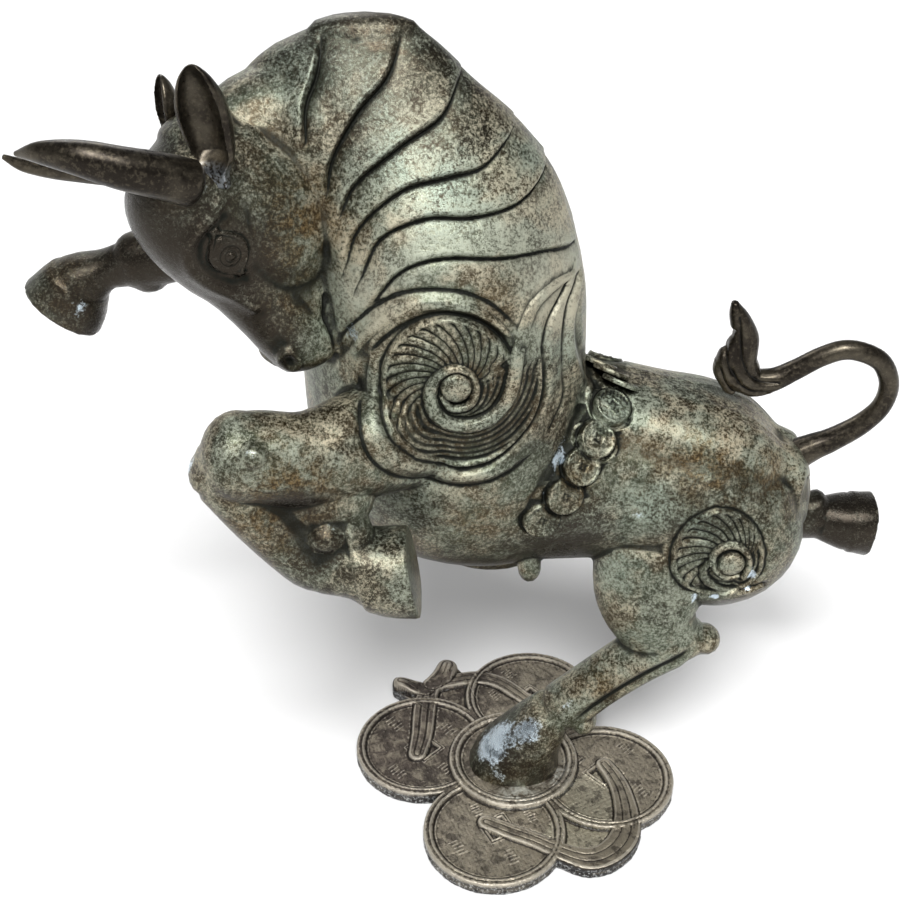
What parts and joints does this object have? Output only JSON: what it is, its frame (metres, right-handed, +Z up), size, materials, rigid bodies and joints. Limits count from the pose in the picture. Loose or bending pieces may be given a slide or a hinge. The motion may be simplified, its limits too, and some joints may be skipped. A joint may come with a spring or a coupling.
{
  "type": "bronze ox statue",
  "caption": "Bronze ox rearing on one hind hoof on a base of joined coins, head lowered, tail looped over the rump.",
  "frame": {"origin": "centre of the middle coin at the base's underside", "axes": "head towards -X, the ox's left side towards -Y, +Z up"},
  "size_m": [0.4508, 0.1894, 0.421],
  "materials": {
    "green_bronze": "green-brown patina with tan speckle, satin",
    "dark_bronze": "smooth dark brown patina, semi-gloss",
    "brown_bronze": "dark brown patina, worn, satin"
  },
  "bodies": {
    "root": {"ox": "green_bronze", "horn_left": "dark_bronze", "horn_right": "dark_bronze", "ear_left": "dark_bronze", "ear_right": "dark_bronze", "tail": "dark_bronze", "coin_base": "brown_bronze"}
  },
  "joints": []
}
